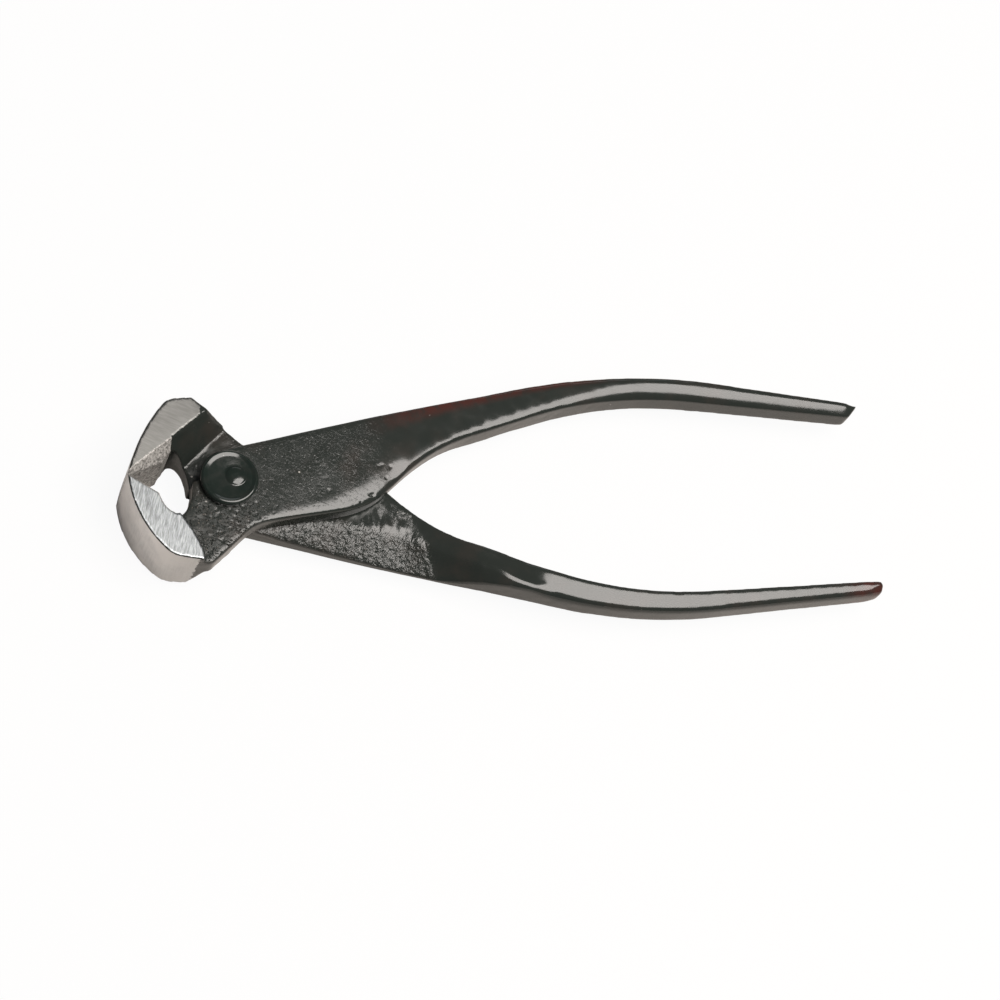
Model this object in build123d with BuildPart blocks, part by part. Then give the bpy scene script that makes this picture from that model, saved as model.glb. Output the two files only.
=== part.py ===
"""Forged end-cutting nippers: two lap-jointed levers turning on one rivet.

Frame, in millimetres: the origin lies on the pivot axis at the flat underside of the joint,
+X runs back along the handles, the jaws point to -X, and +Z is the rivet's axis.
Both levers are the same hand forging and differ only as two such forgings do. Each is drawn about
the lap plane, where the two plates meet, as the half whose plate lies above that plane, whose
handle goes to +Y and whose jaw goes to -Y. The lower lever is then turned over about the X axis.
"""

import math
import os

from build123d import *

# --- driving dimensions ------------------------------------------------------

plate_thickness = 7.0        # each lever's flat plate at the joint
lap_gap = 0.1                # play between the two plates

jaw_reach = 28.1             # pivot axis to cutting edge
edge_gap = 0.1               # daylight between the closed cutting edges
edge_half_width = 12.0       # half the jaw's width at the cutting edge
heel_half_width = 9.0        # half the jaw's width at its heel
heel_x = -6.5                # where the jaw's full width ends
shoulder = (-16.3, -22.8)    # end of the ground front face
heel = (-5.4, -24.2)
throat_back_x = -9.8
bevel_slope = 0.57           # how fast the inner bevel falls away from the edge

back_distance = 12.2         # pivot axis to where the jaw's back meets the lap plane
back_turn = 45.5             # way that the back faces in plan, degrees round from +X
back_lean = 32.0             # lean of the back, degrees off the pivot axis
trim_point = (0.5, -19.0)    # where the heel's chamfer meets the lap plane
trim_turn = -53.0            # way that the chamfer faces in plan, degrees round from +X
trim_lean = 15.6             # how far the chamfer faces down
trim_overrun = 1.5           # how far the chamfer runs past that point
step_start = (-15.6, -8.5)   # edge of the ground side of the jaw, down to the plate
step_middle = (-11.9, -13.2)
step_end = (-7.6, -22.5)

plate_end_x = 36.0           # where the plate's top starts to fall to the handle
handle_start_x = 78.0        # where it has reached the handle's thickness
handle_tip_x = 190.8
handle_thickness = 9.6
tip_thickness = 8.0
neck_corner = (7.3, -12.3)   # corners of the inner edge, before rounding
hook_corner = (38.9, -6.9)
crotch_corner = (60.0, 12.3)
edge_radii = [2.5, 13.0, 25.0, 58.0, 118.0]  # heel, neck, hook, crotch, bend
outer_tip = (handle_tip_x, 29.7)

ramp_start_x = 48.4          # where the lap recess starts to run out, on the X axis
ramp_turn = 19.2             # how far the run-out line leans off the Y axis, degrees
ramp_length = 14.0

rivet_radius = 4.5
rivet_running_clearance = 0.05
rivet_head_radius = 8.0
rivet_head_height = 2.5
rivet_edge_radius = 0.9
dish_radius = 6.2            # flat floor of the shallow dish in the head's top
dish_depth = 0.25
nub_offset = (1.7, 0.4)      # the round nub on that floor, struck off centre
nub_radius = 2.6
nub_height = 0.5
head_seat_gap = 0.05
tail_radius = 6.2            # the rivet's far end, spread flush into a countersink
tail_depth = 2.0

# What differs between the two levers: the jaw's edge is ground off the X axis towards +Y by its
# skew, the ground front's arc rises over its chord by its bulge, and the boss is the plate's end.
upper_form = {
    "skew": -0.9,
    "bulge": 2.7,
    "shoulder_radius": 7.5,
    "throat_front_x": -20.4,
    "throat_depth": 10.5,
    "boss_radius": 9.2,
    "outer_bend": (114.9, 38.6),
    "outer_bend_radius": 176.0,
    "inner_bend": (113.5, 31.2),
    "inner_tip": (187.4, 25.8),
}
lower_form = {
    "skew": 0.9,
    "bulge": 1.6,
    "shoulder_radius": 6.0,
    "throat_front_x": -18.4,
    "throat_depth": 8.9,
    "boss_radius": 10.0,
    "outer_bend": (114.9, 37.7),
    "outer_bend_radius": 141.0,
    "inner_bend": (109.5, 31.5),
    "inner_tip": (190.2, 25.8),
}

# --- derived -----------------------------------------------------------------

lap_height = plate_thickness
head_base = lap_height + plate_thickness + head_seat_gap
head_top = head_base + rivet_head_height
tool_span = 60.0             # further than any cut has to reach
front_x = -jaw_reach
handle_taper = (handle_thickness - tip_thickness) / 2
nub_sphere_radius = (nub_radius ** 2 + nub_height ** 2) / (2 * nub_height)
nub_foot_angle = 60.0        # latitude on that sphere at which the nub's foot is buried


def facing(turn, lean=0.0):
    """Unit vector that faces a way in plan, in degrees round from +X, and leans down from it."""
    turn = math.radians(turn)
    lean = math.radians(lean)
    return Vector(math.cos(turn) * math.cos(lean), math.sin(turn) * math.cos(lean), -math.sin(lean))


def skewed(point, skew):
    """A point of the jaw moved towards +Y, by the whole skew at the cutting edge and not at the pivot."""
    return (point[0], point[1] + skew * point[0] / front_x)


def outline(form):
    """Plan of one lever, with the throat and the inner bevel cut away."""
    skew = form["skew"]
    boss_radius = form["boss_radius"]
    bend = Vector(*form["outer_bend"])
    outer_slope = math.degrees(math.atan2(bend.Y, bend.X) - math.asin(boss_radius / bend.length))
    edge = skewed((front_x, -edge_gap / 2), skew)
    throat_centre_x = (form["throat_front_x"] + throat_back_x) / 2
    with BuildSketch() as plan:
        with BuildLine():
            front = SagittaArc(edge, skewed(shoulder, skew), -form["bulge"])
            inner = FilletPolyline(
                front @ 1,
                skewed(heel, skew),
                neck_corner,
                hook_corner,
                crotch_corner,
                form["inner_bend"],
                form["inner_tip"],
                radius=edge_radii,
            )
            tip = Line(inner @ 1, outer_tip)
            boss_tangent = facing(90 + outer_slope) * boss_radius
            outer = FilletPolyline(tip @ 1, bend, boss_tangent, radius=form["outer_bend_radius"])
            boss = RadiusArc(outer @ 1, skewed((-boss_radius, -edge_gap / 2), skew), boss_radius)
            Line(boss @ 1, front @ 0)
        make_face()
        with Locations(skewed((throat_centre_x, 0), skew)):
            Ellipse(throat_centre_x - form["throat_front_x"], form["throat_depth"], mode=Mode.SUBTRACT)
        with BuildLine():
            Polyline(
                edge,
                (throat_centre_x, edge[1] - bevel_slope * (throat_centre_x - front_x)),
                (throat_centre_x, boss_radius),
                (front_x, boss_radius),
                close=True,
            )
        make_face(mode=Mode.SUBTRACT)
    return plan.sketch


def side_profile():
    """Side view of one lever: the jaw narrows to its heel, the handle thins to its tip."""
    with BuildSketch(Plane.XZ) as profile:
        with BuildLine():
            above = Polyline(
                (front_x, edge_half_width),
                (heel_x, heel_half_width),
                (heel_x, plate_thickness),
                (plate_end_x, plate_thickness),
            )
            shelf = Spline(
                above @ 1,
                (handle_start_x, handle_thickness / 2),
                tangents=[(1, 0), (handle_tip_x - handle_start_x, -handle_taper)],
            )
            Polyline(
                shelf @ 1,
                (handle_tip_x, tip_thickness / 2),
                (handle_tip_x, -tip_thickness / 2),
                (ramp_start_x, -handle_thickness / 2),
                (ramp_start_x, -heel_half_width),
                (heel_x, -heel_half_width),
                (front_x, -edge_half_width),
                (front_x, edge_half_width),
            )
        make_face()
    return profile.sketch


def lap_recess():
    """Room for the other lever's plate, from the jaw's back to a ramp up to the handle."""
    ramp_plane = Plane(
        origin=(ramp_start_x, 0, lap_gap / 2),
        x_dir=facing(-ramp_turn),
        z_dir=facing(-90 - ramp_turn),
    )
    back_plane = Plane(
        origin=facing(back_turn) * -back_distance,
        z_dir=facing(back_turn, back_lean),
    )
    with BuildPart() as recess:
        with BuildSketch(ramp_plane):
            Polygon(
                (-2 * tool_span, 0),
                (0, 0),
                (ramp_length, -handle_thickness / 2 - lap_gap / 2),
                (ramp_length, -edge_half_width),
                (-2 * tool_span, -edge_half_width),
                align=None,
            )
        extrude(amount=tool_span, both=True)
        split(bisect_by=back_plane, keep=Keep.TOP)
    return recess.part


def heel_trim():
    """Wedge that chamfers the heel below the lap plane."""
    trim_plane = Plane(origin=(*trim_point, 0), z_dir=facing(trim_turn, trim_lean))
    with BuildPart() as wedge:
        with Locations((trim_point[0] + trim_overrun, trim_point[1], 0)):
            Box(tool_span / 2, tool_span / 2, edge_half_width, align=(Align.MAX, Align.CENTER, Align.MAX))
        split(bisect_by=trim_plane, keep=Keep.TOP)
    return wedge.part


def forging(form):
    """One lever about the lap plane, without its rivet bore."""
    skew = form["skew"]
    plan = outline(form)
    profile = side_profile()
    recess = lap_recess()
    wedge = heel_trim()
    with BuildPart() as lever:
        with BuildSketch(Plane.XY.offset(-edge_half_width)):
            add(plan)
        extrude(amount=2 * edge_half_width)
        shoulder_corner = (*skewed(shoulder, skew), 0)
        shoulder_edge = lever.edges().filter_by(Axis.Z).sort_by_distance(shoulder_corner)[0]
        fillet(shoulder_edge, form["shoulder_radius"])
        with BuildSketch(Plane.XZ):
            add(profile)
        extrude(amount=tool_span, both=True, mode=Mode.INTERSECT)

        # Step from the ground side of the jaw down to the plate.
        with BuildSketch(Plane.XY.offset(plate_thickness)):
            with BuildLine():
                step = ThreePointArc(*[skewed(p, skew) for p in (step_start, step_middle, step_end)])
                Polyline(
                    step @ 1,
                    (step_end[0], -tool_span),
                    (0, -tool_span),
                    (0, tool_span),
                    (step_start[0], tool_span),
                    step @ 0,
                )
            make_face()
        extrude(amount=edge_half_width, mode=Mode.SUBTRACT)

        add(recess, mode=Mode.SUBTRACT)
        add(wedge, mode=Mode.SUBTRACT)
    return lever.part


def save(piece, name):
    """Label a piece and write it to parts/NAME.step."""
    piece.part.label = name
    export_step(piece.part, f"parts/{name}.step")


joint_centre = (0, 0, lap_height)
upper_forging = forging(upper_form)
lower_forging = forging(lower_form)

# The upper lever turns on the rivet.
with BuildPart() as upper_lever:
    with Locations(joint_centre):
        add(upper_forging)
        Cylinder(rivet_radius + rivet_running_clearance, 2 * edge_half_width, mode=Mode.SUBTRACT)

# The lower lever holds the rivet, whose far end is spread into a countersink.
with BuildPart() as lower_lever:
    with Locations(Location(joint_centre, (180, 0, 0))):
        add(lower_forging)
    with Locations(joint_centre):
        Cylinder(rivet_radius, 2 * edge_half_width, mode=Mode.SUBTRACT)
    with Locations((0, 0, tail_depth / 2)):
        Cone(tail_radius, rivet_radius, tail_depth, mode=Mode.SUBTRACT)

# The rivet: flush tail, shank, and a low head with a rounded rim, a shallow dish and a nub.
with BuildPart() as pivot_rivet:
    with BuildSketch(Plane.XZ):
        with BuildLine():
            body = Polyline(
                (0, 0),
                (tail_radius, 0),
                (rivet_radius, tail_depth),
                (rivet_radius, head_base),
                (rivet_head_radius, head_base),
                (rivet_head_radius, head_top - rivet_edge_radius),
            )
            rim = RadiusArc(
                body @ 1,
                (rivet_head_radius - rivet_edge_radius, head_top),
                -rivet_edge_radius,
            )
            Polyline(rim @ 1, (dish_radius, head_top - dish_depth), (0, head_top - dish_depth), (0, 0))
        make_face()
    revolve(axis=Axis.Z)
    with Locations((*nub_offset, head_top - dish_depth + nub_height)):
        Sphere(
            nub_sphere_radius,
            arc_size1=nub_foot_angle,
            align=(Align.CENTER, Align.CENTER, Align.MAX),
        )

os.makedirs("parts", exist_ok=True)
save(upper_lever, "upper_lever")
save(lower_lever, "lower_lever")
save(pivot_rivet, "pivot_rivet")
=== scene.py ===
"""End-cutting nippers: the forged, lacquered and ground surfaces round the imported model.

Everything is in metres, in the frame of the CAD model: the origin lies on the pivot axis at the
joint's flat underside, +X runs back along the handles and +Z is the rivet's axis. The work on a
lever's mesh is done in millimetres, about the lap plane, with the lever turned as its own forging
lies: plate up, handle to +Y and jaw to -Y. A pair of numbers given to ramp() is where a smooth step
starts and where it ends, and the step may run either way.
"""

import math

import bmesh
import bpy
import numpy as np
from mathutils import Euler, Matrix, Vector, noise


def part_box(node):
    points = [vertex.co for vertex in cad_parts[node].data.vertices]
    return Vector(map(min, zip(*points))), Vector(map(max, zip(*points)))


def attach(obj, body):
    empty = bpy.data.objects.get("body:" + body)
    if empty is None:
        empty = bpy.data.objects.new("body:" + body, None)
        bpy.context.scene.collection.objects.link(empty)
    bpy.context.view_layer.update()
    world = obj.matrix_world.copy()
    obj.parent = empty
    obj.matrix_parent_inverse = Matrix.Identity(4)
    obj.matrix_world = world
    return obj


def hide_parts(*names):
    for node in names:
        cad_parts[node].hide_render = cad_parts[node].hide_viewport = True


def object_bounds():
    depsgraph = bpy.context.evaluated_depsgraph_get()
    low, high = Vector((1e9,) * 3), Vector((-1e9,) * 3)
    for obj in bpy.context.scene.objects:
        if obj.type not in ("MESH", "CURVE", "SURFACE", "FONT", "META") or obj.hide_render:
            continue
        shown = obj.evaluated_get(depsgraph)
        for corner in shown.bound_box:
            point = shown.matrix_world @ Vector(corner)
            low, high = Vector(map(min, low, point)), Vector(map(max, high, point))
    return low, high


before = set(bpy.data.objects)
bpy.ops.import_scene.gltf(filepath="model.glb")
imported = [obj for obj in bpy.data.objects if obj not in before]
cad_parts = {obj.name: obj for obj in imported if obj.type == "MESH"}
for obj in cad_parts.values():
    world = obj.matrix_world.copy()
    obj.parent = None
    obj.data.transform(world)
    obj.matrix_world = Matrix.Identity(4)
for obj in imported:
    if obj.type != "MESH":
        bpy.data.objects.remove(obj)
cad_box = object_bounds()

# --- sizes, in millimetres unless named otherwise ---------------------------------------------

MM = 0.001
LAP_HEIGHT = 7.0            # the lap plane above the joint's underside
PLATE = 7.0                 # thickness of each lever's plate
HANDLE_BOTTOM = -4.8        # the handle's lap side, where it has run out of the plate
REMESH_DEPTH = 10           # the remesh grid is 2 ** depth cells long
REMESH_SCALE = 0.6          # share of the grid's length that the lever fills
WELD_METRES = 2e-6          # the CAD mesh's vertices are merged when closer than this
SEED_SHIFT = (17.3, -9.1, 5.7)  # how far one seed's noise lies from the next one's, in lumps


def ramp(values, start, end):
    """Smooth step of an array: 0 up to start, 1 from end on. Start may be the larger one."""
    share = np.clip((values - start) / (end - start), 0.0, 1.0)
    return share * share * (3.0 - 2.0 * share)


# --- lever meshes ------------------------------------------------------------------------------


def remeshed(node):
    """An even quad mesh of a CAD node, with its sharp edges kept."""
    bm = bmesh.new()
    bm.from_mesh(node.data)
    bmesh.ops.remove_doubles(bm, verts=bm.verts, dist=WELD_METRES)
    mesh = bpy.data.meshes.new(node.name + "_blank")
    bm.to_mesh(mesh)
    bm.free()
    blank = bpy.data.objects.new(node.name + "_blank", mesh)
    bpy.context.scene.collection.objects.link(blank)
    remesh = blank.modifiers.new("even", "REMESH")
    remesh.mode = "SHARP"
    remesh.octree_depth = REMESH_DEPTH
    remesh.scale = REMESH_SCALE
    remesh.use_remove_disconnected = False
    graph = bpy.context.evaluated_depsgraph_get()
    even = bpy.data.meshes.new_from_object(blank.evaluated_get(graph))
    bpy.data.objects.remove(blank)
    bpy.data.meshes.remove(mesh)
    return even


def coordinates(mesh):
    """A mesh's vertices as an array, in millimetres."""
    flat = np.empty(3 * len(mesh.vertices))
    mesh.vertices.foreach_get("co", flat)
    return flat.reshape(-1, 3) / MM


def edge_ends(mesh):
    """The two vertices of each of a mesh's edges, as an array."""
    flat = np.empty(2 * len(mesh.edges), dtype=np.int64)
    mesh.edges.foreach_get("vertices", flat)
    return flat.reshape(-1, 2)


def place(mesh, points):
    """Put the vertices at these points, given in millimetres."""
    mesh.vertices.foreach_set("co", (points * MM).ravel())
    mesh.update()


def linked(name, mesh):
    """A smooth-shaded object of a mesh, in the scene."""
    mesh.polygons.foreach_set("use_smooth", np.ones(len(mesh.polygons), dtype=bool))
    piece = bpy.data.objects.new(name, mesh)
    bpy.context.scene.collection.objects.link(piece)
    return piece


def relax(points, edges, weight, rounds):
    """Draw each vertex towards the mean of its neighbours, by its own weight, again and again."""
    count = np.bincount(edges.ravel(), minlength=len(points))
    ends = np.concatenate([edges[:, 0], edges[:, 1]])
    others = np.concatenate([edges[:, 1], edges[:, 0]])
    for _ in range(rounds):
        for axis in range(3):
            line = points[:, axis]
            mean = np.bincount(ends, weights=line[others], minlength=len(points)) / count
            points[:, axis] = line + weight * (mean - line)
    return points


def wobble(points, size, seed):
    """Smooth noise from -1 to 1 at each point, with lumps of about this size."""
    shift = Vector([seed * step for step in SEED_SHIFT])
    return np.array([noise.noise(Vector(p) / size + shift) for p in points])


def to_forging(points, turned_over):
    """Row frame to the forging's own frame."""
    moved = points.copy()
    if turned_over:
        moved[:, 1] *= -1
        moved[:, 2] = LAP_HEIGHT - moved[:, 2]
    else:
        moved[:, 2] -= LAP_HEIGHT
    return moved


def from_forging(points, turned_over):
    """The forging's own frame to the row frame."""
    moved = points.copy()
    if turned_over:
        moved[:, 1] *= -1
        moved[:, 2] = LAP_HEIGHT - moved[:, 2]
    else:
        moved[:, 2] += LAP_HEIGHT
    return moved


def forging_normals(mesh, turned_over):
    """A mesh's vertex normals as an array, in the forging's own frame."""
    flat = np.empty(3 * len(mesh.vertices))
    mesh.vertex_normals.foreach_get("vector", flat)
    normals = flat.reshape(-1, 3)
    if turned_over:
        normals[:, 1:] *= -1
    return normals


# --- the jaw's ground faces --------------------------------------------------------------------

# A face is told by how much of its normal points up or down.
UPRIGHT = 0.5               # a wall's does by less than this
LYING = 0.9                 # a flat side's by more

# Where the bare metal starts and where it is whole: on the sides and in the mouth, and on the front.
GROUND_FROM_X = -5.0
GROUND_FULL_X = -9.5
FRONT_FROM_X = -6.0
FRONT_FULL_X = -12.5

JAW_PROUD = 0.6             # the ground sides stand out from the plate's by more than this
JAW_MIDDLE_X = -8.0         # what faces away from here, at y = 0, faces outwards
THROAT_FRONT_X = -21.0      # the throat, which stays lacquered, lies behind this and above its depth
THROAT_DEPTH = 12.0
FRONT_WRAP_X = -20.0        # ahead of this, every wall that faces forwards is front
MOUTH_END_X = -15.5
MOUTH_HALF_HEIGHT = 12.0
HEEL_BRIGHTNESS = 0.58      # the front's bright finish at the heel, as a share of that at the edge
HEEL_TO_EDGE_X = (-13.0, -24.0)


def jaw_masks(points, normals):
    """How far each vertex is bare ground metal, and whether it is mouth, front or hatched side."""
    x, y, z = points.T
    lean = np.abs(normals[:, 2])
    upright = lean < UPRIGHT
    outward = normals[:, 0] * (x - JAW_MIDDLE_X) + normals[:, 1] * y > 0
    side = (lean > LYING) & (np.abs(z) > PLATE + JAW_PROUD) & (x < GROUND_FROM_X)
    front = upright & outward & (x < GROUND_FROM_X) & ((y < -THROAT_DEPTH) | (x < THROAT_FRONT_X))
    front |= upright & (normals[:, 0] < 0) & (x < FRONT_WRAP_X)
    mouth = (np.abs(y) < MOUTH_HALF_HEIGHT) & (x < MOUTH_END_X) & (lean < LYING)
    mouth &= ~front & (upright | ~outward)
    front_fade = ramp(x, FRONT_FROM_X, FRONT_FULL_X)
    fade = np.where(front & ~side, front_fade, ramp(x, GROUND_FROM_X, GROUND_FULL_X))
    brightness = HEEL_BRIGHTNESS + (1 - HEEL_BRIGHTNESS) * ramp(x, *HEEL_TO_EDGE_X)
    return {
        "ground": np.where(side | front | mouth, fade, 0.0),
        "mouth": (mouth & ~side).astype(float),
        "front": (front & ~side) * brightness,
        "hatched": (side & (z > 0)).astype(float),
    }


# --- the forging's slacker shape ---------------------------------------------------------------

WALL_FROM_X = 6.0           # the levers' walls are found behind this
WALL_TILT = 0.3             # a wall's normal points up or down by less than this
WALL_FACING = 0.3           # and to its own side by more

# The handles' crown and twist, as slopes. The lap side has the share of them given here by x; a share
# below 0 turns them over.
HANDLE_MIDDLE_Z = (-2.0, 2.0)
CROWN_SLOPE = 0.15
CROWN_FULL_Z = 4.0
TWIST_SLOPE = 0.18
TOP_CROWN_X = (102.0, 126.0)
LAP_SIDE_TWIST = ([56, 66, 84, 91], [0.0, -1.0, -1.0, 1.0])

# The plate side's inner edge falls away: where, over what width, and how steeply.
HOOK_X = [10, 20, 29, 40, 46, 51, 62, 73, 100, 118]
HOOK_REACH = [1.6, 2.6, 4.0, 8.6, 9.6, 4.6, 3.0, 3.2, 3.6, 3.6]
HOOK_SLOPE = ([88, 116], [0.30, 0.70])
HOOK_Z = (3.0, 4.5)
HOOK_START_X = (10.0, 16.0)

# Where the lap recess runs out, and how much longer its eased run is than the straight one.
RAMP_START_X = 48.4
RAMP_TURN = 19.2            # in degrees
RAMP_LENGTH = 14.0
RAMP_OVERRUN = 1.35
LEAST_ALONG = 0.001         # the eased run is divided by no less than this share of the straight one

# The lap side falls away towards the outer edge: where, over what width, and how far.
FALL_X = [6, 12, 20, 30, 42, 50, 58, 66, 82, 96]
FALL_REACH = [3.0, 3.6, 5.4, 7.6, 9.8, 11.0, 7.5, 5.6, 1.6, 1.5]
FALL_DEPTH = [0.0, 1.4, 2.5, 3.6, 4.3, 4.5, 4.4, 4.4, 1.2, 0.0]
TOP_FALLS_X = [36, 78]      # between these the plate side goes from the plate's height to the handle's


def wall_line(points, normals, side):
    """The y of the lever's inner (-1) or outer (1) wall at each vertex's x, behind the rivet."""
    x, y = points[:, 0], points[:, 1]
    wall = (np.abs(normals[:, 2]) < WALL_TILT) & (normals[:, 1] * side > WALL_FACING)
    wall &= x > WALL_FROM_X
    station = np.round(x[wall]).astype(int)
    count = np.bincount(station)
    total = np.bincount(station, weights=y[wall])
    known = np.nonzero(count)[0]
    return np.interp(x, known, total[known] / count[known])


def shaped(points, inner, outer):
    """The drop forging's slacker shapes: crowned and twisted handles, and edges that fall away."""
    x, y, z = points.T
    half = (outer - inner) / 2
    middle = (outer + inner) / 2
    across = np.clip((y - middle) / half, -1.0, 1.0)
    above = ramp(z, *HANDLE_MIDDLE_Z)
    handle = above * ramp(x, *TOP_CROWN_X) + (1 - above) * np.interp(x, *LAP_SIDE_TWIST)
    crown = CROWN_SLOPE * half / 2 * across ** 2 * np.clip(z / CROWN_FULL_Z, -1.0, 1.0)
    twist = TWIST_SLOPE * half * across
    moved = z + handle * (twist - crown)

    hook_reach = np.interp(x, HOOK_X, HOOK_REACH)
    inward = np.clip(1 - (y - inner) / hook_reach, 0.0, 1.0)
    hook_fall = np.interp(x, *HOOK_SLOPE) * hook_reach / 2 * inward ** 2
    moved -= hook_fall * ramp(z, *HOOK_Z) * ramp(x, *HOOK_START_X)

    turn = math.radians(RAMP_TURN)
    along = ((x - RAMP_START_X) * math.cos(turn) - y * math.sin(turn)) / RAMP_LENGTH
    run_out = ramp(along, 0.0, RAMP_OVERRUN)
    eased = run_out / np.clip(along, LEAST_ALONG, 1.0)
    moved = np.where((z < 0) & (along > 0), moved * eased, moved)

    bottom = HANDLE_BOTTOM * run_out
    top = np.interp(x, TOP_FALLS_X, (PLATE, -HANDLE_BOTTOM))
    to_edge = np.clip(1 - (outer - y) / np.interp(x, FALL_X, FALL_REACH), 0.0, 1.0)
    fall = to_edge * np.interp(x, FALL_X, FALL_DEPTH)
    moved += fall * np.clip((top - moved) / (top - bottom), 0.0, 1.0)
    return np.column_stack([x, y, moved])


# --- the forged skin ---------------------------------------------------------------------------

# What is left as forged: all behind the jaw that lies clear of the lap plane, or behind the rivet.
BEHIND_JAW_X = (-9.0, -3.0)
OFF_LAP_Z = (1.2, 3.5)
OFF_LAP_X = (9.0, 20.0)

# The lap face, its root round the rivet, and the plate's outer face.
LAP_FACING = 0.7            # the lap face's normal points down by more than this
LAP_TOP = 0.3
LAP_FROM_X = 8.0
LAP_RUNS_OUT_Z = (-1.2, -0.1)
ROOT_HALF_HEIGHT = 1.5
PLATE_FACE_FROM_X = -12.0
PLATE_FACE_DEPTH = 0.5

# Rounding: how far a round draws a vertex in, how many rounds there are, and where.
RELAX = 0.8
FORGED_ROUNDS = 12
HANDLE_EDGE_ROUNDS = 16
HANDLE_EDGE_X = (76.0, 94.0)
HANDLE_EDGE_ACROSS = (0.6, 0.9)
TIP_ROUNDS = 14
TIP_X = (185.0, 188.5)
TIP_CORNER_ROUNDS = 40
TIP_CORNER_X = (186.5, 189.0)
TIP_CORNER_ACROSS = (0.3, 0.8)
LACQUERED_JAW_ROUNDS = 4
GROUND_RELAX = 0.3

# Pitting: how strong it is on each face, and where. The plate's inner edge is free of it.
PLATE_PITTING = 0.45
PLATE_PITTING_X = (52.0, 25.0)
NECK_PITTING = 2.6
NECK_X = (14.0, 4.0)
NECK_Y = (-1.0, -7.0)
CLEAN_EDGE = (0.6, 2.6)
CLEAN_EDGE_ENDS_X = (12.0, 8.0)
LAP_PITTING = 0.15
LAP_EDGE_PITTING = 1.6
LAP_EDGE = (11.0, 8.0)
ROOT_PITTING = 0.6
CRATERS_START_X = (24.0, 32.0)
CRATERS_END_X = (52.0, 44.0)
CRATERS_WIDTH = (12.0, 6.0)

# Unevenness: the size of each kind of noise, how far it goes, and how far it is sunk into the steel.
# A step is the noise's value where a pit starts and where it is at its full depth.
LUMP_SIZE, LUMP_HEIGHT, LUMP_SINK = 9.0, 0.06, 0.7
DENT_SIZE, DENT_SINK = 2.6, 0.6
JAW_DENT_HEIGHT, JAW_DENT_SINK = 0.09, 1.0
GRIT_SIZE, GRIT_DEPTH, GRIT_STEP = 1.1, 0.06, (0.30, 0.55)
HOLLOW_DEPTH, HOLLOW_STEP = 0.012, (0.0, 0.6)
CRATER_SIZE, CRATER_DEPTH, CRATER_STEP = 1.7, 0.16, (0.42, 0.62)
HAMMER_SIZE, HAMMER_HEIGHT, HAMMER_STRETCH = 1.9, 0.10, (1.4, 0.6, 1.0)

# Raggedness, which is how far the dents go: everywhere, along the handle's bend, and at its middle.
RAGGED = 0.010
BEND_RAGGED, BEND_START_X, BEND_END_X = 0.014, (50.0, 62.0), (125.0, 105.0)
MID_BEND_RAGGED, MID_BEND_START_X, MID_BEND_END_X = 0.020, (64.0, 74.0), (104.0, 92.0)

HANDLE_GROWTH = 0.03        # the rounding thins the handle, which is thickened again by this
HANDLE_GROWTH_X = (60.0, 90.0)


def lever_zones(points, normals, inner, outer):
    """How strongly each vertex belongs to each zone of the lever, by its place in the CAD's own shape.

    The share across runs from the inner wall, at 0, to the outer one, at 1.
    """
    x, y, z = points.T
    across = (y - inner) / (outer - inner)
    forged = ramp(x, *BEHIND_JAW_X) * np.maximum(ramp(np.abs(z), *OFF_LAP_Z), ramp(x, *OFF_LAP_X))
    lap_side = (normals[:, 2] < -LAP_FACING) & (z < LAP_TOP)
    on_lap = lap_side * ramp(z, *LAP_RUNS_OUT_Z) * (x > LAP_FROM_X)
    root = lap_side & (np.abs(z) < ROOT_HALF_HEIGHT) & (x < LAP_FROM_X)
    on_plate = (z > PLATE - PLATE_FACE_DEPTH) & (x > PLATE_FACE_FROM_X)

    near_neck = ramp(x, *NECK_X) * ramp(y, *NECK_Y)
    off_edge = np.maximum(ramp(y - inner, *CLEAN_EDGE), ramp(x, *CLEAN_EDGE_ENDS_X))
    plate_pitting = PLATE_PITTING * ramp(x, *PLATE_PITTING_X) + NECK_PITTING * near_neck
    pitted = on_plate * plate_pitting * off_edge
    pitted += on_lap * (LAP_PITTING + LAP_EDGE_PITTING * ramp(outer - y, *LAP_EDGE))
    pitted += ROOT_PITTING * root
    cratered = on_plate * ramp(x, *CRATERS_START_X) * ramp(x, *CRATERS_END_X)
    cratered = cratered * ramp(y - inner, *CRATERS_WIDTH)
    return {
        "across": across,
        "forged": forged,
        "on_lap": on_lap,
        "pitted": pitted,
        "cratered": cratered,
        "handle_edge": ramp(across, *HANDLE_EDGE_ACROSS) * ramp(x, *HANDLE_EDGE_X),
        "tip": ramp(x, *TIP_X),
        "tip_corner": ramp(across, *TIP_CORNER_ACROSS) * ramp(x, *TIP_CORNER_X),
    }


def rounded(points, edges, zones, ground):
    """The forging's edges rounded by relaxing: most at the handle's tip, and hardly where ground."""
    forged = zones["forged"]
    for weight, rounds in (
        (RELAX * forged, FORGED_ROUNDS),
        (RELAX * forged * zones["handle_edge"], HANDLE_EDGE_ROUNDS),
        (RELAX * zones["tip"], TIP_ROUNDS),
        (RELAX * zones["tip_corner"], TIP_CORNER_ROUNDS),
        (RELAX * (1 - ground) * (1 - forged), LACQUERED_JAW_ROUNDS),
        (GROUND_RELAX * ground, 1),
    ):
        points = relax(points, edges, weight, rounds)
    return points


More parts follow.
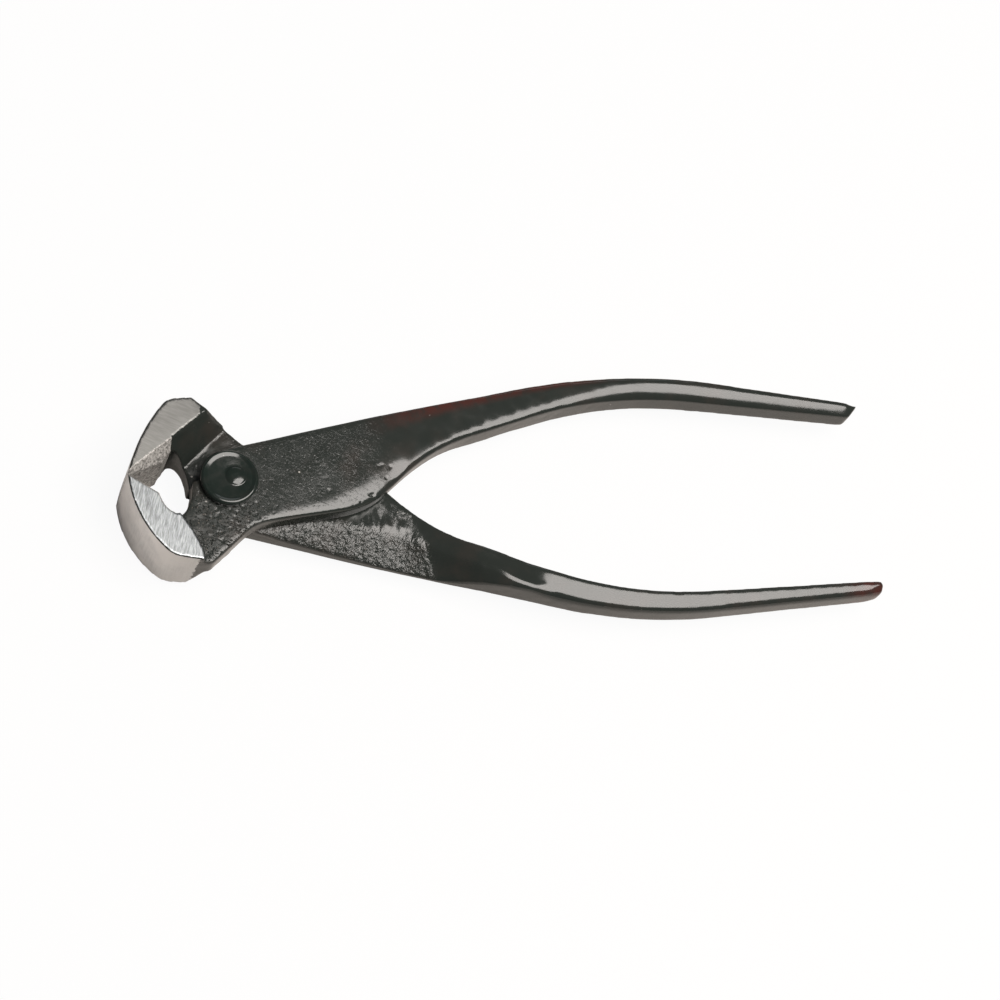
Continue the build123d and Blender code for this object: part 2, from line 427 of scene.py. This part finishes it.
def skin_height(points, x, zones, ground, seed):
    """How far each vertex of the smooth forging moves along its normal to make an uneven skin."""
    forged = zones["forged"]
    lumps = LUMP_HEIGHT * (wobble(points, LUMP_SIZE, seed) - LUMP_SINK)
    dents = wobble(points, DENT_SIZE, seed + 1)
    grit = wobble(points, GRIT_SIZE, seed + 2)
    pits = -GRIT_DEPTH * ramp(grit, *GRIT_STEP) - HOLLOW_DEPTH * ramp(dents, *HOLLOW_STEP)
    craters = -CRATER_DEPTH * ramp(wobble(points, CRATER_SIZE, seed + 3), *CRATER_STEP)
    ragged = RAGGED + BEND_RAGGED * ramp(x, *BEND_START_X) * ramp(x, *BEND_END_X)
    ragged += MID_BEND_RAGGED * ramp(x, *MID_BEND_START_X) * ramp(x, *MID_BEND_END_X)
    hammered = HAMMER_HEIGHT * wobble(points * HAMMER_STRETCH, HAMMER_SIZE, seed + 4)
    skin = lumps + ragged * (dents - DENT_SINK) + zones["pitted"] * pits
    skin += zones["cratered"] * craters + zones["on_lap"] * hammered
    height = forged * skin
    height += JAW_DENT_HEIGHT * (1 - forged) * (1 - ground) * (dents - JAW_DENT_SINK)
    return height + HANDLE_GROWTH * ramp(x, *HANDLE_GROWTH_X)


def forged_lever(node, name, turned_over, seed, rust_and_reflection):
    """A lever with its edges rounded as forged, its faces slightly uneven and its masks as attributes."""
    mesh = remeshed(node)
    mesh.name = name
    points = to_forging(coordinates(mesh), turned_over)
    normals = forging_normals(mesh, turned_over)
    inner = wall_line(points, normals, -1)
    outer = wall_line(points, normals, 1)
    masks = jaw_masks(points, normals)
    ground = masks["ground"]
    zones = lever_zones(points, normals, inner, outer)
    x = points[:, 0]

    smooth = rounded(shaped(points, inner, outer), edge_ends(mesh), zones, ground)
    place(mesh, from_forging(smooth, turned_over))
    normals = forging_normals(mesh, turned_over)
    height = skin_height(smooth, x, zones, ground, seed)
    uneven = from_forging(smooth + normals * height[:, None], turned_over)
    lowest, highest = (np.array(corner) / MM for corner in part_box(node.name))
    place(mesh, np.clip(uneven, lowest, highest))

    masks["pitted"] = zones["pitted"]
    masks["rust_and_reflection"] = rust_and_reflection(x, zones["across"])
    masks["on_lap"] = zones["on_lap"]
    for label, values in masks.items():
        layer = mesh.attributes.new(label, "FLOAT", "POINT")
        layer.data.foreach_set("value", values.astype(np.float32))
    return linked(name, mesh)


# A brown painted reflection shows along the upper lever's outer edge from one x to another, and rust from
# one x to the tip.
REFLECTION_ACROSS = (0.66, 0.92)
REFLECTION_START_X = (36.0, 60.0)
REFLECTION_END_X = (122.0, 96.0)
TIP_RUST_X = (176.0, 186.0)


def painted_reflection_on_outer_edge(x, across):
    """A brown painted reflection along the upper lever's outer edge."""
    return ramp(across, *REFLECTION_ACROSS) * ramp(x, *REFLECTION_START_X) * ramp(x, *REFLECTION_END_X)


def rust_on_tip(x, _across):
    """Brown showing through at the lower lever's tip, all the way across."""
    return ramp(x, *TIP_RUST_X)


# --- rivet -------------------------------------------------------------------------------------

HEAD_TOP = 16.55
HEAD_BASE = 14.05
HEAD_RADIUS = 8.0
HEAD_CHAMFER = (0.2, 0.3)   # in from the radius, and up from the base
EDGE_RADIUS = 0.9
DISH_RADIUS = 6.0
DISH_DEPTH = 0.26
DISH_EASE = 1.2             # how much the dish's side eases off towards its rim
NUB_OFFSET = (1.7, 0.4)
NUB_RADIUS = 2.9
NUB_HEIGHT = 0.50
NUB_SINK = 0.02
NUB_FOOT = ((0.15, 0.03, 0.95), (0.6, 0.0, 0.75))   # out from the nub, below the dish, offset's share
SHANK_RADIUS = 4.5
TAIL_RADIUS = 6.2
TAIL_CHAMFER = (0.15, 0.1)
TAIL_DEPTH = 2.0
TURNS = 144
NUB_STEPS = 16
DISH_STEPS = 12
EDGE_STEPS = 9
HAIR = 0.02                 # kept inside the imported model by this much


def rivet_profile():
    """Half section of the rivet from the nub's middle to the tail's: radius, height, share of offset."""
    floor = HEAD_TOP - HAIR - DISH_DEPTH
    profile = []
    for step in range(NUB_STEPS + 1):
        share = step / NUB_STEPS
        rise = NUB_HEIGHT * (1 - share ** 4)
        profile.append((NUB_RADIUS * share, floor + rise - NUB_SINK, 1.0))
    for out, below, offset in NUB_FOOT:
        profile.append((NUB_RADIUS + out, floor - below, offset))
    flat_end = HEAD_RADIUS - EDGE_RADIUS
    for step in range(DISH_STEPS + 1):
        share = step / DISH_STEPS
        radius = DISH_RADIUS + (flat_end - DISH_RADIUS) * share
        rise = DISH_DEPTH * share * share * (1 + DISH_EASE - DISH_EASE * share)
        profile.append((radius, floor + rise, 0.0))
    for step in range(1, EDGE_STEPS + 1):
        turn = math.pi / 2 * step / EDGE_STEPS
        drop = EDGE_RADIUS * (1 - math.cos(turn))
        profile.append((flat_end + EDGE_RADIUS * math.sin(turn), HEAD_TOP - HAIR - drop, 0.0))
    for radius, height in (
        (HEAD_RADIUS, HEAD_BASE + HEAD_CHAMFER[1]),
        (HEAD_RADIUS - HEAD_CHAMFER[0], HEAD_BASE),
        (SHANK_RADIUS, HEAD_BASE),
        (SHANK_RADIUS, TAIL_DEPTH),
        (TAIL_RADIUS, TAIL_CHAMFER[1]),
        (TAIL_RADIUS - TAIL_CHAMFER[0], 0.0),
        (0.0, 0.0),
    ):
        profile.append((radius, height, 0.0))
    return profile


def lathe(name, profile):
    """A closed mesh turned about the Z axis, its middle shifted towards the nub where shares say so."""
    bm = bmesh.new()
    rings = []
    for radius, height, offset in profile:
        middle = Vector((NUB_OFFSET[0] * offset, NUB_OFFSET[1] * offset, height))
        ring = []
        for turn in range(TURNS if radius > 0 else 1):
            angle = 2 * math.pi * turn / TURNS
            spoke = Vector((radius * math.cos(angle), radius * math.sin(angle), 0))
            ring.append(bm.verts.new((middle + spoke) * MM))
        rings.append(ring)
    for first, second in zip(rings, rings[1:]):
        for turn in range(TURNS):
            corners = []
            for ring, spot in ((first, turn), (second, turn), (second, turn + 1), (first, turn + 1)):
                corner = ring[spot % len(ring)]
                if corner not in corners:
                    corners.append(corner)
            bm.faces.new(corners)
    bmesh.ops.recalc_face_normals(bm, faces=bm.faces)
    mesh = bpy.data.meshes.new(name)
    bm.to_mesh(mesh)
    bm.free()
    return linked(name, mesh)


# --- materials ---------------------------------------------------------------------------------

# The Mix node's sockets for each kind of data: its two values and its result.
MIX_SOCKETS = {"FLOAT": (2, 3, 0), "VECTOR": (4, 5, 1), "RGBA": (6, 7, 2)}


class Nodes:
    """Short ways to build a material's nodes. A value may be a socket, a number or a colour."""

    def __init__(self, name):
        self.material = bpy.data.materials.new(name)
        self.material.use_nodes = True
        self.tree = self.material.node_tree
        self.shader = self.tree.nodes["Principled BSDF"]
        self.where = self.new("ShaderNodeTexCoord").outputs["Object"]

    def new(self, kind, **settings):
        """A new node with these settings."""
        node = self.tree.nodes.new(kind)
        for key, value in settings.items():
            setattr(node, key, value)
        return node

    def link(self, value, target):
        """Give a socket its value."""
        if isinstance(value, (int, float)):
            target.default_value = value
        elif isinstance(value, tuple):
            target.default_value = (*value, 1.0)
        else:
            self.tree.links.new(value, target)

    def noise(self, scale, detail=3.0, roughness=0.55, stretch=None):
        """Noise of this many lumps to the millimetre."""
        node = self.new("ShaderNodeTexNoise")
        node.inputs["Scale"].default_value = scale / MM
        node.inputs["Detail"].default_value = detail
        node.inputs["Roughness"].default_value = roughness
        self.link(self.stretched(stretch), node.inputs["Vector"])
        return node.outputs["Fac"]

    def cells(self, scale):
        """Distance to the nearest of scattered points, this many to the millimetre."""
        node = self.new("ShaderNodeTexVoronoi")
        node.inputs["Scale"].default_value = scale / MM
        self.link(self.where, node.inputs["Vector"])
        return node.outputs["Distance"]

    def stretched(self, stretch):
        """The surface's place, turned about Z by stretch's last value and scaled by its others."""
        if stretch is None:
            return self.where
        turn = self.new("ShaderNodeMapping")
        turn.inputs["Rotation"].default_value = (0, 0, math.radians(stretch[3]))
        self.link(self.where, turn.inputs["Vector"])
        scale = self.new("ShaderNodeMapping")
        scale.inputs["Scale"].default_value = stretch[:3]
        self.link(turn.outputs["Vector"], scale.inputs["Vector"])
        return scale.outputs["Vector"]

    def attribute(self, name):
        """A mask kept on the mesh."""
        return self.new("ShaderNodeAttribute", attribute_name=name).outputs["Fac"]

    def range(self, value, low, high, start=0.0, end=1.0):
        """Smooth step from start to end while the value goes from low to high."""
        node = self.new("ShaderNodeMapRange", interpolation_type="SMOOTHSTEP")
        self.link(value, node.inputs["Value"])
        for socket, number in zip(("From Min", "From Max", "To Min", "To Max"), (low, high, start, end)):
            self.link(number, node.inputs[socket])
        return node.outputs["Result"]

    def math(self, operation, a, b):
        """Arithmetic on two numbers."""
        node = self.new("ShaderNodeMath", operation=operation)
        self.link(a, node.inputs[0])
        self.link(b, node.inputs[1])
        return node.outputs["Value"]

    def mix(self, share, a, b, kind="RGBA"):
        """Two colours mixed, or two values of another kind."""
        node = self.new("ShaderNodeMix", data_type=kind)
        first, second, result = MIX_SOCKETS[kind]
        self.link(share, node.inputs[0])
        self.link(a, node.inputs[first])
        self.link(b, node.inputs[second])
        return node.outputs[result]

    def blend(self, share, a, b):
        """Two numbers mixed."""
        return self.mix(share, a, b, "FLOAT")

    def bump(self, height, distance):
        """Bump of this depth in millimetres where the height goes from 0 to 1."""
        node = self.new("ShaderNodeBump")
        node.inputs["Distance"].default_value = distance * MM
        self.link(height, node.inputs["Height"])
        return node.outputs["Normal"]


LACQUER = (0.022, 0.026, 0.023)
THIN_LACQUER = (0.032, 0.030, 0.026)
# Brown: rust at the lower lever's tip, and a painted reflection along the upper lever's outer edge.
RUST_AND_REFLECTION = (0.058, 0.021, 0.017)
# Pale specks: partly dust, partly painted glints standing in for light caught by the pits.
DUST_AND_GLINT = (0.50, 0.48, 0.44)
WORN_LACQUER = (0.16, 0.14, 0.12)
LACQUER_BUMP = 0.10

HATCH_DARK = (0.17, 0.18, 0.185)
HATCH_LIGHT = (0.42, 0.445, 0.455)
SATIN_DARK = (0.20, 0.20, 0.19)
SATIN_LIGHT = (0.25, 0.25, 0.24)
FRONT_DARK = (0.70, 0.71, 0.72)
FRONT_LIGHT = (0.82, 0.83, 0.84)
FRONT_CLOUD = (0.92, 0.92, 0.92)
MOUTH_DARK = (0.12, 0.115, 0.105)
MOUTH_LIGHT = (0.60, 0.58, 0.55)
MOUTH_METALLIC = 0.25
MOUTH_ROUGHNESS = 0.55
STEEL_BUMP = 0.035

RIVET_LACQUER = (0.012, 0.018, 0.015)
RIVET_THIN_LACQUER = (0.017, 0.021, 0.018)
# Pale specks on the rivet: dust, and painted glints.
RIVET_DUST_AND_GLINT = (0.3, 0.32, 0.3)
RIVET_BUMP = 0.008


def lacquer_layer(n):
    """Colour, roughness and normal of greenish black lacquer, browner where it lies thin."""
    pitted = n.attribute("pitted")
    colour = n.mix(n.range(n.noise(0.10, 5), 0.45, 0.75), LACQUER, THIN_LACQUER)
    # Brown: rust at the lower lever's tip, and a painted reflection along the upper lever's outer edge.
    rust_and_reflection = n.math("MULTIPLY", n.attribute("rust_and_reflection"), n.range(n.noise(0.35, 4), 0.3, 0.6, 0.35, 1.0))
    colour = n.mix(rust_and_reflection, colour, RUST_AND_REFLECTION)
    # Sparse pale specks: dust, and painted glints.
    dust_and_glint = n.math("MULTIPLY", n.range(n.cells(0.22), 0.075, 0.045), n.range(n.noise(0.2, 2), 0.55, 0.6))
    colour = n.mix(n.math("MULTIPLY", dust_and_glint, 0.8), colour, DUST_AND_GLINT)
    worn = n.math("MULTIPLY", n.range(n.noise(2.4, 3, 0.7), 0.60, 0.72), pitted)
    colour = n.mix(n.math("MULTIPLY", worn, 0.5), colour, WORN_LACQUER)
    roughness = n.range(n.noise(0.25, 4), 0.3, 0.7, 0.11, 0.17)
    roughness = n.math("ADD", roughness, n.math("MULTIPLY", pitted, 0.03))

    # Grain, streaks and hollows show where the steel is pitted, and a coarse weave on the lap face.
    grain = n.range(n.noise(1.6, 5, 0.7), 0.54, 0.80)
    streaks = n.range(n.noise(1.0, 4, 0.6, stretch=(0.35, 1.6, 1.0, 25.0)), 0.56, 0.76)
    hollows = n.math("MULTIPLY", n.range(n.cells(0.9), 0.30, 0.0), n.range(n.noise(0.5, 3), 0.45, 0.6))
    relief = n.math("ADD", grain, n.math("MULTIPLY", streaks, 0.5))
    relief = n.math("ADD", relief, n.math("MULTIPLY", hollows, -0.8))
    weave = n.math("ADD", n.noise(0.55, 2, 0.6, stretch=(0.4, 2.2, 1.0, -60.0)), n.noise(0.9, 3, 0.6))
    relief = n.blend(n.attribute("on_lap"), relief, n.math("MULTIPLY", weave, 1.8))
    relief = n.math("MULTIPLY", relief, n.math("ADD", pitted, 0.02))
    return colour, roughness, n.bump(relief, LACQUER_BUMP)


def steel_layer(n, mouth):
    """Colour, roughness and normal of bare steel: hatched or satin where ground, scaly in the mouth."""
    hatched = n.attribute("hatched")
    front = n.attribute("front")
    hatch = n.noise(3.2, 4, 0.65, stretch=(1.0, 0.10, 0.3, 12.0))
    polish = n.noise(2.0, 4, 0.6, stretch=(0.10, 1.0, 0.6, 20.0))
    drawn = n.noise(2.2, 3, 0.6, stretch=(1.0, 1.0, 0.08, 0.0))
    scale = n.noise(1.3, 5, 0.7)
    clouds = n.noise(0.09, 4)

    satin_colour = n.mix(n.range(polish, 0.3, 0.7), SATIN_DARK, SATIN_LIGHT)
    hatched_colour = n.mix(n.range(hatch, 0.3, 0.7), HATCH_DARK, HATCH_LIGHT)
    front_colour = n.mix(n.range(drawn, 0.3, 0.7), FRONT_DARK, FRONT_LIGHT)
    front_colour = n.mix(n.range(clouds, 0.35, 0.65), front_colour, FRONT_CLOUD)
    mouth_colour = n.mix(n.range(scale, 0.35, 0.65), MOUTH_DARK, MOUTH_LIGHT)
    colour = n.mix(hatched, satin_colour, hatched_colour)
    colour = n.mix(front, colour, front_colour)
    colour = n.mix(mouth, colour, mouth_colour)

    height = n.blend(hatched, n.math("MULTIPLY", polish, 0.3), hatch)
    height = n.blend(mouth, height, n.math("MULTIPLY", n.noise(1.8, 5, 0.7), 2.0))
    roughness = n.blend(mouth, n.range(clouds, 0.3, 0.7, 0.36, 0.44), MOUTH_ROUGHNESS)
    return colour, roughness, n.bump(height, STEEL_BUMP)


def lever_material(name):
    """Black lacquer over rough forging, and bare steel with a ragged border where the jaw is ground."""
    n = Nodes(name)
    ragged = n.math("MULTIPLY", n.math("SUBTRACT", n.noise(1.2, 4), 0.5), 0.5)
    ground = n.range(n.math("ADD", n.attribute("ground"), ragged), 0.42, 0.58)
    mouth = n.attribute("mouth")
    lacquer, lacquer_roughness, lacquer_normal = lacquer_layer(n)
    steel, steel_roughness, steel_normal = steel_layer(n, mouth)
    metallic = n.math("MULTIPLY", ground, n.blend(mouth, 1.0, MOUTH_METALLIC))
    n.link(n.mix(ground, lacquer, steel), n.shader.inputs["Base Color"])
    n.link(metallic, n.shader.inputs["Metallic"])
    n.link(n.blend(ground, lacquer_roughness, steel_roughness), n.shader.inputs["Roughness"])
    n.link(n.mix(ground, lacquer_normal, steel_normal, "VECTOR"), n.shader.inputs["Normal"])
    return n.material


def rivet_material(name):
    """Glossy black lacquer, thick enough to fill the grain."""
    n = Nodes(name)
    colour = n.mix(n.range(n.noise(0.3, 4), 0.4, 0.7), RIVET_LACQUER, RIVET_THIN_LACQUER)
    # Sparse pale specks: dust, and painted glints.
    dust_and_glint = n.math("MULTIPLY", n.range(n.cells(0.25), 0.09, 0.05), n.range(n.noise(0.3, 2), 0.5, 0.56))
    colour = n.mix(n.math("MULTIPLY", dust_and_glint, 0.5), colour, RIVET_DUST_AND_GLINT)
    n.link(colour, n.shader.inputs["Base Color"])
    n.link(n.range(n.noise(0.6, 4), 0.3, 0.7, 0.10, 0.14), n.shader.inputs["Roughness"])
    n.link(n.bump(n.noise(0.5, 3), RIVET_BUMP), n.shader.inputs["Normal"])
    return n.material


# --- the object --------------------------------------------------------------------------------

upper = forged_lever(
    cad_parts["upper_lever"],
    "forged_upper_lever",
    turned_over=False,
    seed=3,
    rust_and_reflection=painted_reflection_on_outer_edge,
)
lower = forged_lever(
    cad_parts["lower_lever"],
    "forged_lower_lever",
    turned_over=True,
    seed=11,
    rust_and_reflection=rust_on_tip,
)
lever_finish = lever_material("black_lacquer_and_ground_steel")
for lever, node, body in (
    (upper, "upper_lever", "moving_side"),
    (lower, "lower_lever", "fixed_side"),
):
    lever.data.materials.append(lever_finish)
    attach(lever, body)
    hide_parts(node)

rivet = lathe("riveted_pin", rivet_profile())
rivet.data.materials.append(rivet_material("rivet_lacquer"))
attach(rivet, "fixed_side")
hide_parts("pivot_rivet")

# --- floor, light and camera, in metres --------------------------------------------------------

FLOOR_HALF = 3.0
FLOOR_COLOUR = (0.56, 0.53, 0.50)
FLOOR_ROUGHNESS = 0.9
FLOOR_GLOW = 1.02
FLOOR_GLOW_SHARE = 0.92
WORLD_COLOUR = (0.9, 0.93, 1.0, 1.0)
WORLD_STRENGTH = 0.06
CAMERA_AZIMUTH, CAMERA_ELEVATION, CAMERA_ROLL = -37.109, 63.075, 35.089    # in degrees
CAMERA_DISTANCE = 0.750
CAMERA_AIM = Vector((0.0728, -0.0091, 0.0256))
CAMERA_LENS = 98.5          # in millimetres


def floor_material(name):
    """White sweep, which glows where it is seen directly so that it stays white under the tool."""
    n = Nodes(name)
    n.link(FLOOR_COLOUR, n.shader.inputs["Base Color"])
    n.shader.inputs["Roughness"].default_value = FLOOR_ROUGHNESS
    glow = n.new("ShaderNodeEmission")
    glow.inputs["Strength"].default_value = FLOOR_GLOW
    seen = n.new("ShaderNodeLightPath").outputs["Is Camera Ray"]
    surface = n.new("ShaderNodeMixShader")
    n.link(n.math("MULTIPLY", seen, FLOOR_GLOW_SHARE), surface.inputs["Fac"])
    n.link(n.shader.outputs["BSDF"], surface.inputs[1])
    n.link(glow.outputs["Emission"], surface.inputs[2])
    n.link(surface.outputs["Shader"], n.tree.nodes["Material Output"].inputs["Surface"])
    return n.material


floor_mesh = bpy.data.meshes.new("floor")
floor_mesh.from_pydata(
    [(x * FLOOR_HALF, y * FLOOR_HALF, cad_box[0].z) for x, y in ((-1, -1), (1, -1), (1, 1), (-1, 1))],
    [],
    [(0, 1, 2, 3)],
)
floor = bpy.data.objects.new("floor", floor_mesh)
bpy.context.scene.collection.objects.link(floor)
floor_mesh.materials.append(floor_material("white_sweep"))


def direction(azimuth, elevation):
    """Unit vector from the object: azimuth 0 is towards -Y and 90 towards +X, in degrees."""
    a, e = math.radians(azimuth), math.radians(elevation)
    return Vector((math.sin(a) * math.cos(e), -math.cos(a) * math.cos(e), math.sin(e)))


def softbox(name, azimuth, elevation, distance, size, power, tint):
    """A rectangular lamp that faces the middle of the object."""
    lamp = bpy.data.lights.new(name, "AREA")
    lamp.shape = "RECTANGLE"
    lamp.size, lamp.size_y = size
    lamp.energy = power
    lamp.color = tint
    box = bpy.data.objects.new(name, lamp)
    aim = (cad_box[0] + cad_box[1]) / 2
    away = direction(azimuth, elevation)
    box.location = aim + away * distance
    box.rotation_euler = away.to_track_quat("Z", "Y").to_euler()
    bpy.context.scene.collection.objects.link(box)


softbox(
    "overhead_softbox",
    azimuth=62,
    elevation=72,
    distance=1.2,
    size=(0.95, 0.86),
    power=23,
    tint=(1.0, 0.95, 0.91),
)
softbox(
    "back_light",
    azimuth=168,
    elevation=34,
    distance=1.8,
    size=(0.9, 0.25),
    power=0.8,
    tint=(0.95, 0.97, 1.0),
)

world = bpy.data.worlds.new("studio")
world.use_nodes = True
world.node_tree.nodes["Background"].inputs["Color"].default_value = WORLD_COLOUR
world.node_tree.nodes["Background"].inputs["Strength"].default_value = WORLD_STRENGTH
bpy.context.scene.world = world
bpy.context.scene.view_settings.view_transform = "Standard"

lens = bpy.data.cameras.new("camera")
lens.lens = CAMERA_LENS
camera = bpy.data.objects.new("camera", lens)
camera.location = CAMERA_AIM + CAMERA_DISTANCE * direction(CAMERA_AZIMUTH, CAMERA_ELEVATION)
aimed = Euler((math.radians(90 - CAMERA_ELEVATION), 0, math.radians(CAMERA_AZIMUTH))).to_matrix()
camera.rotation_euler = (aimed @ Matrix.Rotation(math.radians(CAMERA_ROLL), 3, "Z")).to_euler()
bpy.context.scene.collection.objects.link(camera)
bpy.context.scene.camera = camera
